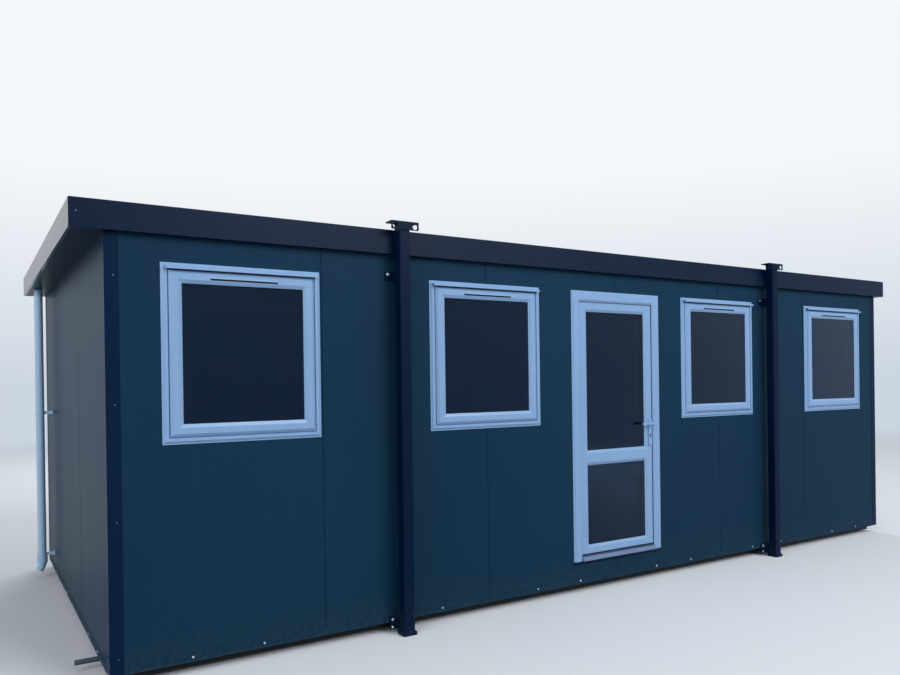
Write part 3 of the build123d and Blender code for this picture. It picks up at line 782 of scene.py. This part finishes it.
@dataclass
class WallScrews(Work):
    """The hexagon-headed screws of the walls' base edges and corner trims."""

    panels: tuple[int, int] = (6, 3)
    screws_per_panel: int = 2
    shift: float = 0.020
    height: float = 0.095
    corner_inset: float = 0.046
    corner_heights: tuple[float, ...] = (0.156, 0.881, 1.505, 2.192)
    leg_clearance: float = 0.105
    turns: tuple[float, float, float] = (17.0, 23.0, 31.0)

    def build(self) -> None:
        """Drive every screw."""
        left, front, rear, right = solids("base_trims")
        trims = {Facing.LEFT: left, Facing.FRONT: front, Facing.REAR: rear, Facing.RIGHT: right}
        for facing, trim in trims.items():
            piece = self.piece(f"{facing.name.lower()}_base_screws", "hardware", ZINC)
            for index, spot in enumerate(self.base_places(facing.along)):
                SHEET_SCREW.set_in(piece, facing.on(trim, spot, self.height), self.turns[0] * index)
            piece.done()
        self.drive_corners()

    def base_places(self, axis: int) -> list[float]:
        """Find where the base screws of a wall stand.

        Args:
            axis: The axis that runs along the wall.

        Returns:
            Places along it, clear of the legs.
        """
        walls = outer_walls()
        parts = self.screws_per_panel + 1
        pitch = walls.size[axis] / self.panels[axis] / parts
        spots = [
            walls.low[axis] + pitch * (panel * parts + step) + self.shift
            for panel in range(self.panels[axis])
            for step in range(1, parts)
        ]
        legs = [post.middle.x for post in solids("leg_posts")] if axis == 0 else []
        return [spot for spot in spots if all(abs(spot - leg) > self.leg_clearance for leg in legs)]

    def drive_corners(self) -> None:
        """Drive the screws up both legs of each corner trim."""
        piece = self.piece("corner_trim_screws", "hardware", DULL_ZINC)
        inset = self.corner_inset
        for trim in solids("corner_trims"):
            end = Facing.LEFT if trim.middle.x < 0 else Facing.RIGHT
            side = Facing.FRONT if trim.middle.y < 0 else Facing.REAR
            x = trim.low.x + inset if end is Facing.LEFT else trim.high.x - inset
            y = trim.low.y + inset if side is Facing.FRONT else trim.high.y - inset
            for index, height in enumerate(self.corner_heights):
                TRIM_SCREW.set_in(piece, side.on(trim, x, height), self.turns[1] * index)
                TRIM_SCREW.set_in(piece, end.on(trim, y, height), self.turns[2] * index)
        piece.done()


@dataclass
class RoofWork(Work):
    """Lap seams, edge trim and outlet of the roof, and the screws of its long fascias."""

    sheet_width: float = 1.05
    lap_width: float = 0.05
    lap_thickness: float = 0.002
    lap_end: float = 0.01
    lap_edge: float = 0.0008
    trim_width: float = 0.075
    trim_thickness: float = 0.0025
    screw_inset: float = 0.036
    screw_height: float = 2.506
    screw_turn: float = 11.0
    outlet_radius: float = 0.06
    outlet_rise: float = 0.03
    outlet_bars: int = 12
    ring_heights: tuple[float, float] = (0.004, 0.006)
    bar_depth: float = 0.003
    bar_width: float = 0.004

    def build(self) -> None:
        """Make every piece of the roof."""
        self.lay_laps()
        self.lay_trim()
        self.set_outlet()
        self.drive_fascias()

    def lay_laps(self) -> None:
        """Lay a raised strip where one sheet of membrane overlaps the next."""
        roof = whole("roof_membrane")
        piece = self.piece("membrane_laps", "membrane", MEMBRANE)
        sheets = round(roof.size.x / self.sheet_width)
        half = self.lap_width / 2
        for index in range(1, sheets):
            x = roof.low.x + index * roof.size.x / sheets
            low = (x - half, roof.low.y + self.lap_end, roof.high.z)
            high = (x + half, roof.high.y - self.lap_end, roof.high.z + self.lap_thickness)
            piece.slab(low, high, self.lap_edge)
        piece.done()

    def lay_trim(self) -> None:
        """Lay the flat strip that holds down the membrane's edge."""
        roof = whole("roof_membrane")
        base = self.lap_thickness
        slope = self.trim_thickness
        top = base + slope
        width = self.trim_width
        section = [(0.0, 0.0), (0.0, top - slope / 2), (slope / 2, top), (width - slope, top), (width, base),
                   (width, 0.0)]
        piece = self.piece("roof_edge_trim", "flashing", FLASHING_PAINT)
        centre = Matrix.Translation((roof.middle.x, roof.middle.y, roof.high.z))
        piece.mitred(centre, roof.size.x, roof.size.y, section)
        piece.done()

    def set_outlet(self) -> None:
        """Set the leaf guard over the pipe's mouth."""
        roof = whole("roof_membrane")
        rim, rise, deep = self.outlet_radius, self.outlet_rise, self.bar_depth
        spot = (roof.low.x + self.trim_width + rim, whole("downpipe").middle.y, roof.high.z)
        stand = Matrix.Translation(spot)
        piece = self.piece("roof_outlet_guard", "membrane", RUBBER)
        outer, inner = self.ring_heights
        ring = [(rim, 0.0), (rim, outer), (rim * 0.84, inner), (rim * 0.8, 0.0)]
        piece.turned(stand, ring, sides=36, closed=True)
        arch = [(rim * 0.83, deep), (rim * 0.76, rise * 0.6), (rim * 0.45, rise), (0.0, rise),
                (0.0, rise - deep), (rim * 0.42, rise - deep), (rim * 0.7, rise * 0.54), (rim * 0.78, deep)]
        quarter = Matrix.Rotation(math.tau / 4, 4, "X")
        upright = quarter @ Matrix.Translation((0.0, 0.0, -self.bar_width / 2))
        for index in range(self.outlet_bars):
            turn = Matrix.Rotation(math.tau * index / self.outlet_bars, 4, "Z")
            piece.prism(stand @ turn @ upright, arch, self.bar_width)
        piece.done()

    def drive_fascias(self) -> None:
        """Drive a screw near each end of the long fascias."""
        piece = self.piece("fascia_screws", "hardware", DULL_ZINC)
        for facing in (Facing.FRONT, Facing.REAR):
            board = whole(f"fascia_{facing.name.lower()}")
            for spot in (board.low.x + self.screw_inset, board.high.x - self.screw_inset):
                TRIM_SCREW.set_in(piece, facing.on(board, spot, self.screw_height), self.screw_turn)
        piece.done()


@dataclass
class SealedUnit(Work):
    """A sealed glass unit: two panes, the bar between them, and the gaskets against the beads."""

    prefix: str
    block: Block
    body: str
    stands_for: str
    pane: float = 0.004
    bite: float = 0.012
    bar_inset: float = 0.005
    bar_width: float = 0.0075
    bar_clearance: float = 0.0002
    gasket_width: float = 0.004
    gasket_proud: float = 0.0026

    def build(self) -> None:
        """Fill the space of one solid pane."""
        low, high = self.block
        glazing = self.piece(f"{self.prefix}_glazing", "glass", GLASS, self.body)
        glazing.slab(low, (high.x, low.y + self.pane, high.z))
        glazing.slab((low.x, high.y - self.pane, low.z), high)
        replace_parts(glazing.done(), self.stands_for)

        middle, size = self.block.middle, self.block.size
        faces = [facing.on(self.block, middle.x, middle.z) for facing in (Facing.FRONT, Facing.REAR)]
        bar = self.piece(f"{self.prefix}_spacer", "metal", ALUMINIUM, self.body)
        near, far = self.bar_inset, self.bar_inset + self.bar_width
        out = -self.pane - self.bar_clearance
        back = -out - size.y
        bar.mitred(faces[0], size.x, size.z, [(near, out), (far, out), (far, back), (near, back)])
        bar.done()

        gasket = self.piece(f"{self.prefix}_gaskets", "joinery", RUBBER, self.body)
        proud, wide = self.gasket_proud, self.gasket_width
        section = [(0.0, 0.0), (0.0, proud), (wide * 0.6, proud * 0.8), (wide, 0.0)]
        for stand in faces:
            gasket.mitred(stand, size.x - 2 * self.bite, size.z - 2 * self.bite, section)
        gasket.done()


@dataclass
class WindowWork(Work):
    """What a window carries besides its frame and sash."""

    number: int
    pane: Block
    vent_drop: float = 0.040
    vent_length: float = 0.392
    slot_half: float = 0.0035
    # The dark screen reaches below the slot: the part below is painted shade that thickens the slot's dark
    # line.
    screen_and_shade_below: float = 0.0075
    screen_proud: float = 0.0012
    screen_bite: float = 0.0001
    screen_edge: float = 0.0004
    hood_rise: float = 0.007
    hood_reach: float = 0.004
    hood_over: float = 0.002
    hood_lip: float = 0.001
    # The dark seal under the weather bar is painted shade: it darkens the line where the bar's shadow falls.
    shadow_seal_back: float = 0.0015
    shadow_seal_height: float = 0.003
    shadow_seal_proud: float = 0.0085
    shadow_seal_edge: float = 0.0008

    def build(self) -> None:
        """Make the glass unit, the vent, and the dark seal over the sash that paints the shadow under the
        weather bar.
        """
        SealedUnit(self.shop, f"window_{self.number}", self.pane, ROOT, "window_glass").build()
        self.set_vent()
        self.set_head_shadow_seal()

    def set_head_shadow_seal(self) -> None:
        """Set the dark seal between the sash's top and the weather bar: a painted shadow line under the bar.
        """
        sash = whole(f"window_{self.number}_sash")
        piece = self.piece(f"window_{self.number}_head_shadow_seal", "joinery", RUBBER)
        face = sash.low.y + self.shadow_seal_back
        high = (sash.high.x, face + self.shadow_seal_proud, sash.high.z + self.shadow_seal_height)
        piece.slab((sash.low.x, face, sash.high.z), high, self.shadow_seal_edge)
        piece.done()

    def set_vent(self) -> None:
        """Set the vent's hood over its slot, and the dark screen across the slot, which reaches below the
        slot as painted shade.
        """
        sash = whole(f"window_{self.number}_sash")
        middle = sash.high.z - self.vent_drop
        left, right = (sash.middle.x + side * self.vent_length / 2 for side in (-1, 1))
        top = middle + self.slot_half
        hood = self.piece(f"window_{self.number}_vent_hood", "joinery", UPVC)
        start = Matrix.Translation((left - self.hood_over, sash.low.y, top))
        reach, rise, lip = self.hood_reach, self.hood_rise, self.hood_lip
        outline = [(0.0, rise), (reach * 0.6, rise * 0.75), (reach, rise * 0.25), (reach, -lip),
                   (reach * 0.8, -lip), (reach * 0.7, rise * 0.12), (0.0, rise * 0.12)]
        lengthwise = Matrix(((0, 0, 1), (-1, 0, 0), (0, 1, 0))).to_4x4()
        hood.prism(start @ lengthwise, outline, right - left + 2 * self.hood_over)
        hood.done()
        screen = self.piece(f"window_{self.number}_vent_screen_and_shade", "joinery", RUBBER)
        low = (left, sash.low.y - self.screen_proud, middle - self.screen_and_shade_below)
        screen.slab(low, (right, sash.low.y + self.screen_bite, top), self.screen_edge)
        screen.done()


@dataclass
class DoorWork(Work):
    """What the doorway and the door carry besides frame, leaf, plates and levers."""

    seal_inset: float = 0.004
    seal_width: float = 0.0105
    seal_toe: float = 0.006
    seal_start: float = 0.0006
    seal_depth: float = 0.0042
    strip_height: float = 0.020
    strip_proud: float = 0.010
    strip_edge: float = 0.0015
    screw_heights: tuple[float, float] = (1.106, 1.270)
    keyhole_height: float = 1.157
    lock_radius: float = 0.0082
    lock_tail: float = 0.0048
    lock_drop: float = 0.019
    lock_recess: float = 0.0008
    ribs: int = 4
    rib_width: float = 0.003
    rib_rise: float = 0.0014
    rib_end: float = 0.002
    rib_round: float = 0.0005
    rib_edges: tuple[float, float] = (0.003, 0.006)
    hinge_inset: float = 0.009
    hinge_plate: float = 0.003
    hinge_shares: tuple[float, ...] = (0.16, 0.5, 0.84)

    def build(self) -> None:
        """Make every piece of the doorway and the door."""
        for name, pane in zip(("door_lower", "door_upper"), solids("door_glass")):
            SealedUnit(self.shop, name, pane, DOOR, "door_glass").build()
        self.set_seal()
        self.set_strip()
        self.drive_plate_screws()
        self.set_lock()
        self.rib_threshold()
        self.drive_hinge_screws()

    def set_seal(self) -> None:
        """Run the black seal that the leaf closes against round the frame."""
        leaf = whole("door_leaf")
        piece = self.piece("door_frame_seal", "joinery", RUBBER)
        width, height = (size - 2 * self.seal_inset for size in (leaf.size.x, leaf.size.z))
        near, far, wide = self.seal_start, self.seal_depth, self.seal_width
        section = [(0.0, near), (0.0, far), (wide, far), (wide, near * 2), (self.seal_toe, near)]
        piece.mitred(Facing.FRONT.on(leaf, leaf.middle.x, leaf.middle.z), width, height, section)
        piece.done()

    def set_strip(self) -> None:
        """Set the dark packing strip under the frame's feet."""
        jambs = whole("door_frame")
        wall = whole("door_sill_panels").low.y
        piece = self.piece("door_packing_strip", "flashing", FLASHING_PAINT)
        low = (jambs.low.x, wall - self.strip_proud, jambs.low.z - self.strip_height)
        piece.slab(low, (jambs.high.x, wall, jambs.low.z), self.strip_edge)
        piece.done()

    def drive_plate_screws(self) -> None:
        """Drive the two screws of each handle plate."""
        piece = self.piece("door_plate_screws", "hardware", HINGE_STEEL, DOOR)
        for facing, plate in zip((Facing.FRONT, Facing.REAR), solids("door_handle_plates")):
            for height in self.screw_heights:
                PanHead().set_in(piece, facing.on(plate, plate.middle.x, height))
        piece.done()

    def set_lock(self) -> None:
        """Set the profile cylinder in the keyholes of both plates."""
        outer, inner = solids("door_handle_plates")
        piece = self.piece("door_lock_cylinder", "hardware", DARK_LOCK_METAL, DOOR)
        neck = math.asin(self.lock_tail / self.lock_radius)
        barrel = self.arc(self.lock_radius, neck - math.tau / 4, math.tau - 2 * neck, steps=10)
        half = self.arc(self.lock_tail, math.tau / 2, math.tau / 2, steps=6)
        tail = [(x, y - self.lock_drop) for x, y in half]
        start = Facing.REAR.on(inner, outer.middle.x, self.keyhole_height).to_translation()
        start.y -= self.lock_recess
        length = start.y - outer.low.y - self.lock_recess
        piece.prism(Facing.FRONT.stand(start), barrel + tail, length)
        piece.done()

    @staticmethod
    def arc(radius: float, start: float, sweep: float, steps: int) -> list[tuple[float, float]]:
        """Find points along an arc about the origin, in equal steps and with both ends."""
        angles = [start + sweep * index / steps for index in range(steps + 1)]
        return [(radius * math.cos(angle), radius * math.sin(angle)) for angle in angles]

    def rib_threshold(self) -> None:
        """Lay the raised ribs along the top of the threshold."""
        sill = whole("door_threshold")
        piece = self.piece("door_threshold_ribs", "metal", ALUMINIUM)
        first = whole("door_frame").low.y + self.rib_edges[0]
        last = whole("door_leaf").low.y - self.rib_edges[1]
        half = self.rib_width / 2
        for index in range(self.ribs):
            y = first + (last - first) * index / (self.ribs - 1)
            low = (sill.low.x + self.rib_end, y - half, sill.high.z)
            high = (sill.high.x - self.rib_end, y + half, sill.high.z + self.rib_rise)
            piece.slab(low, high, self.rib_round)
        piece.done()

    def drive_hinge_screws(self) -> None:
        """Drive the screws of both halves of each hinge."""
        y = whole("door_leaf").high.y + self.hinge_plate
        for node, body in (("door_hinge_frame_halves", ROOT), ("door_hinge_leaf_halves", DOOR)):
            piece = self.piece(f"{node}_screws", "hardware", HINGE_STEEL, body)
            for half in solids(node):
                x = half.low.x + self.hinge_inset if body == ROOT else half.high.x - self.hinge_inset
                for share in self.hinge_shares:
                    place = Vector((x, y, half.low.z + share * half.size.z))
                    PanHead().set_in(piece, Facing.REAR.stand(place))
            piece.done()


@dataclass
class LegWork(Work):
    """The bolts of the legs' clamps and the weld beads of their brackets and feet."""

    bolt_spread: float = 0.066
    upper_lift: float = 0.011
    lower_heights: tuple[float, float] = (0.037, 0.085)
    ear_faces: tuple[float, float] = (0.008, 0.014)
    bolt_turns: tuple[float, float] = (13.0, 90.0)
    bead: float = 0.0035
    bead_step: float = 0.9
    bead_sink: float = 0.4
    bead_sides: int = 6
    ripple: float = 0.0005
    corner_radius: float = 0.008
    corner_steps: int = 3

    def build(self) -> None:
        """Make the bolts and the welds of all four legs."""
        walls = outer_walls()
        bolts = self.piece("leg_clamp_bolts", "hardware", ZINC)
        beads = self.piece("leg_welds", "leg_steel", LEG_PAINT)
        upper, lower = self.ear_faces
        for post, clamp in zip(solids("leg_posts"), solids("upper_leg_clamps")):
            facing, wall = (Facing.FRONT, walls.low) if post.middle.y < 0 else (Facing.REAR, walls.high)
            heights = [(height, lower) for height in self.lower_heights]
            for height, proud in [(clamp.middle.z + self.upper_lift, upper), *heights]:
                y = wall.y + facing.value[1] * proud
                for side in (-1, 1):
                    spot = Vector((post.middle.x + side * self.bolt_spread, y, height))
                    turn = self.bolt_turns[0] * side + self.bolt_turns[1] * height
                    CLAMP_BOLT.set_in(bolts, facing.stand(spot), turn)
            self.weld(beads, post)
        bolts.done()
        beads.done()

    def weld(self, piece: Piece, post: Block) -> None:
        """Lay the beads round the top and the bottom of one post.

        Args:
            piece: The piece that they join.
            post: The post's box.
        """
        (left, front, foot), (right, rear, head) = post
        plan = ((left, front), (right, front), (right, rear), (left, rear))
        sunk = self.bead * self.bead_sink
        for height in (foot + sunk, head - sunk):
            self.lay_bead(piece, self.rounded([Vector((x, y, height)) for x, y in plan]))

    def lay_bead(self, piece: Piece, route: list[Vector]) -> None:
        """Lay a rippled weld bead round a closed, level route.

        Args:
            piece: The piece that it joins.
            route: The route's corners.
        """
        points = []
        for start, end in zip(route, route[1:] + route[:1]):
            count = max(1, round((end - start).length / (self.bead * self.bead_step)))
            points += [start.lerp(end, index / count) for index in range(count)]
        turns = [math.tau * side / self.bead_sides for side in range(self.bead_sides)]
        loops = []
        for index, point in enumerate(points):
            aside = (points[(index + 1) % len(points)] - points[index - 1]).normalized().cross(UP)
            swell = self.bead + self.ripple * (1 if index % 2 else -1)
            ring = [point + swell * (math.cos(turn) * aside + math.sin(turn) * UP) for turn in turns]
            loops.append(piece.loop(Matrix(), ring))
        piece.skin(loops)

    def rounded(self, corners: list[Vector]) -> list[Vector]:
        """Round the corners of a level route.

        Args:
            corners: The sharp corners.

        Returns:
            The rounded route.
        """
        route = []
        for index, corner in enumerate(corners):
            before = (corners[index - 1] - corner).normalized() * self.corner_radius
            after = (corners[(index + 1) % len(corners)] - corner).normalized() * self.corner_radius
            for step in range(self.corner_steps + 1):
                share = step / self.corner_steps
                route.append(corner + before * (1 - share) ** 2 + after * share ** 2)
        return route


@dataclass
class PipeWork(Work):
    """The screws of the rainwater pipe's clips and the drain stub under the end wall."""

    screw_spread: float = 0.020
    plate: float = 0.004
    stub_radius: float = 0.015
    stub_wall: float = 0.0022
    stub_lip: float = 0.0006
    stub_out: float = 0.125
    stub_inner: float = 0.300
    stub_setback: float = 0.410
    stub_height: float = 0.050

    def build(self) -> None:
        """Make the pipe's small pieces."""
        self.drive_clips()
        self.set_stub()

    def drive_clips(self) -> None:
        """Drive the two screws of each clip's wall plate."""
        piece = self.piece("downpipe_clip_screws", "hardware", DULL_ZINC)
        x = outer_walls().low.x - self.plate
        for clip in solids("downpipe_clips"):
            for side in (-1, 1):
                spot = Vector((x, clip.middle.y + side * self.screw_spread, clip.middle.z))
                PanHead().set_in(piece, Facing.LEFT.stand(spot))
        piece.done()

    def set_stub(self) -> None:
        """Set the open plastic stub that sticks out under the left wall."""
        piece = self.piece("drain_stub", "chassis_steel", STUB_PLASTIC)
        start = outer_walls().low + Vector((self.stub_inner, self.stub_setback, self.stub_height))
        length = self.stub_inner + self.stub_out
        radius, bore, lip = self.stub_radius, self.stub_radius - self.stub_wall, self.stub_lip
        section = [(bore, 0.0), (radius, 0.0), (radius, length - lip), (radius - lip, length),
                   (bore + lip, length), (bore, length - lip)]
        piece.turned(Facing.LEFT.stand(start), section, sides=32, closed=True)
        piece.done()


@dataclass
class Studio:
    """A pale floor, plain soft lamps and the camera."""

    floor_half: float = 60.0
    floor_colour: Colour = (0.73, 0.78, 0.84)
    floor_bounce: Colour = (0.30, 0.31, 0.33)
    backdrop: Colour = (0.90, 0.93, 0.96)
    horizon: Colour = (0.60, 0.67, 0.75)
    fade: tuple[float, float] = (8.0, 22.0)
    sweep: float = 0.25
    daylight: float = 0.42
    lamps: tuple[tuple[str, Point, float, float], ...] = (
        ("key", (4.0, -13.0, 9.5), 9.0, 1560.0),
        ("fill", (-12.0, -7.0, 7.0), 8.0, 620.0),
        ("back", (4.0, 12.0, 8.0), 9.0, 1000.0),
    )
    lit_point: Point = (0.0, 0.0, 1.2)
    eye: Point = (-4.256, -6.0865, 1.602)
    yaw: float = 32.236
    pitch: float = -0.230
    roll: float = -0.776
    focal_pixels: float = 769.5
    picture_width: float = 900.0
    centre_below: float = 47.7
    sensor: float = 36.0
    farthest: float = 500.0

    def build(self) -> None:
        """Set the floor, the world, the lamps and the camera."""
        self.lay_floor()
        self.light_world()
        self.hang_lamps()
        self.place_camera()
        bpy.context.scene.view_settings.view_transform = "Standard"

    @staticmethod
    def seen(graph: Graph) -> Socket:
        """Tell what is seen straight, mirrored or through glass from what only gives light.

        Args:
            graph: The graph of the floor or the world.

        Returns:
            A socket that is 1 where it is seen.
        """
        path = graph.node("ShaderNodeLightPath")
        seen = graph.math("ADD", path.outputs["Is Camera Ray"], path.outputs["Is Glossy Ray"], clamp=True)
        return graph.math("ADD", seen, path.outputs["Is Transmission Ray"], clamp=True)

    def lay_floor(self) -> None:
        """Make the pale floor, which fades into the backdrop's foot far from the cabin."""
        mesh = bpy.data.meshes.new("floor")
        corners = ((-1, -1), (1, -1), (1, 1), (-1, 1))
        mesh.from_pydata([(x * self.floor_half, y * self.floor_half, 0) for x, y in corners], [], [range(4)])
        floor = place_object("studio_floor", mesh)
        material = bpy.data.materials.new("studio_floor")
        graph = blank_graph(material)
        seen = self.seen(graph)
        ground = graph.node("ShaderNodeBsdfPrincipled", {
            "Base Color": graph.mix(seen, self.floor_bounce, self.floor_colour),
            "Roughness": 0.9,
            "Specular IOR Level": 0.1,
        })
        reach = graph.node("ShaderNodeVectorMath", {0: graph.place()}, operation="LENGTH").outputs["Value"]
        far = graph.node(
            "ShaderNodeMapRange", {"Value": reach, "From Min": self.fade[0], "From Max": self.fade[1]},
            interpolation_type="SMOOTHSTEP",
        )
        foot = graph.node("ShaderNodeEmission", {"Color": self.horizon})
        faded = graph.math("MULTIPLY", far.outputs[0], seen)
        surface = graph.blend(faded, ground.outputs[0], foot.outputs[0])
        graph.node("ShaderNodeOutputMaterial", {"Surface": surface})
        mesh.materials.append(material)

    def light_world(self) -> None:
        """Light evenly from all round, with a pale sweep behind for what is seen or mirrored."""
        world = bpy.data.worlds.new("studio")
        bpy.context.scene.world = world
        graph = blank_graph(world)
        soft = graph.node("ShaderNodeBackground", {"Color": (1.0, 1.0, 1.0), "Strength": self.daylight})
        rise = graph.split(graph.place("Generated")).outputs["Z"]
        lift = graph.math("DIVIDE", rise, self.sweep, clamp=True)
        pale = graph.node("ShaderNodeBackground", {"Color": graph.mix(lift, self.horizon, self.backdrop)})
        surface = graph.blend(self.seen(graph), soft.outputs[0], pale.outputs[0])
        graph.node("ShaderNodeOutputWorld", {"Surface": surface})

    def hang_lamps(self) -> None:
        """Hang the square lamps, each by its place, side in metres and power in watts."""
        for name, place, size, power in self.lamps:
            light = bpy.data.lights.new(name, "AREA")
            light.size = size
            light.energy = power
            lamp = place_object(name, light)
            lamp.location = place
            lamp.visible_camera = False
            aim = Vector(self.lit_point) - Vector(place)
            lamp.rotation_euler = aim.to_track_quat("-Z", "Y").to_euler()

    def place_camera(self) -> None:
        """Stand the camera where the photograph was taken."""
        data = bpy.data.cameras.new("camera")
        data.sensor_width = self.sensor
        data.lens = self.sensor * self.focal_pixels / self.picture_width
        data.shift_y = self.centre_below / self.picture_width
        data.clip_end = self.farthest
        camera = place_object("camera", data)
        camera.matrix_world = Matrix.Translation(self.eye)
        for angle, axis in ((-self.yaw, "Z"), (90.0 + self.pitch, "X"), (self.roll, "Z")):
            camera.matrix_world @= Matrix.Rotation(math.radians(angle), 4, axis)
        bpy.context.scene.camera = camera


def main() -> None:
    """Build the studio, dress the frame, then make the small pieces in order."""
    logging.basicConfig(level=logging.INFO, format="%(name)s: %(message)s")
    Studio().build()
    shop = Shop()
    shop.dress_frame()
    shop.soften()
    WallScrews(shop).build()
    RoofWork(shop).build()
    for number, pane in enumerate(solids("window_glass"), start=1):
        WindowWork(shop, number, pane).build()
    DoorWork(shop).build()
    LegWork(shop).build()
    PipeWork(shop).build()


if __name__ == "__main__":
    main()
